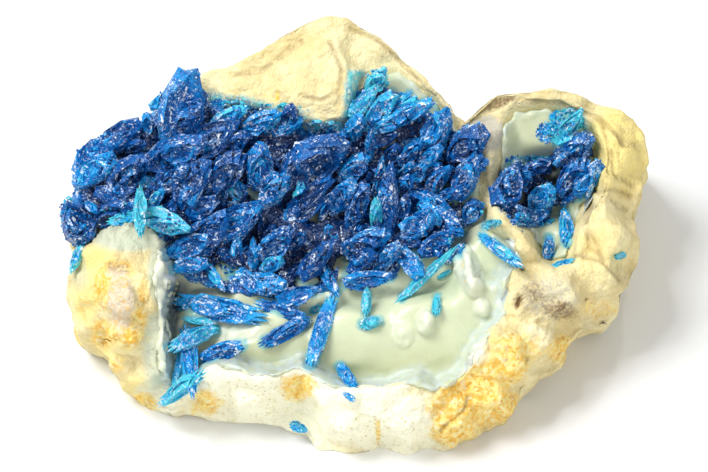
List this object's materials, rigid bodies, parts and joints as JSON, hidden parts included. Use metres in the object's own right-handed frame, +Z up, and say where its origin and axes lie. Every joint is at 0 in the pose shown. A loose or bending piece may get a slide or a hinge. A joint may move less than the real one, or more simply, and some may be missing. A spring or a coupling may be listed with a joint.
{
  "type": "mineral specimen",
  "caption": "Small broken rock with a lined cavity and side pocket, filled with deep blue blade-shaped crystals; rests on a flat underside.",
  "frame": {"origin": "on the flat underside, under the middle of the specimen", "axes": "+X to the right along the longest side, +Z up from the flat underside, the low front rim towards -Y"},
  "size_m": [0.0237, 0.0177, 0.0098],
  "materials": {
    "rock": "rough, powdery",
    "lining": "smooth, waxy",
    "blue_crystal": "glassy, sparkling",
    "azure_crystal": "glassy",
    "teal_crystal": "glassy"
  },
  "bodies": {
    "root": {"matrix": "rock", "cavity_lining": "lining", "pocket_lining": "lining", "main_druse": "blue_crystal", "pocket_druse": "blue_crystal", "corner_druse": "azure_crystal", "crystal_01": "azure_crystal", "crystal_02": "blue_crystal", "crystal_03": "blue_crystal", "crystal_04": "azure_crystal", "crystal_05": "teal_crystal", "crystal_06": "teal_crystal", "crystal_07": "teal_crystal", "crystal_08": "teal_crystal", "crystal_09": "azure_crystal", "crystal_10": "blue_crystal", "crystal_11": "azure_crystal", "crystal_12": "azure_crystal", "crystal_13": "blue_crystal", "crystal_14": "azure_crystal", "crystal_15": "blue_crystal", "crystal_16": "teal_crystal", "crystal_17": "teal_crystal", "crystal_18": "teal_crystal", "crystal_19": "teal_crystal"}
  },
  "joints": []
}
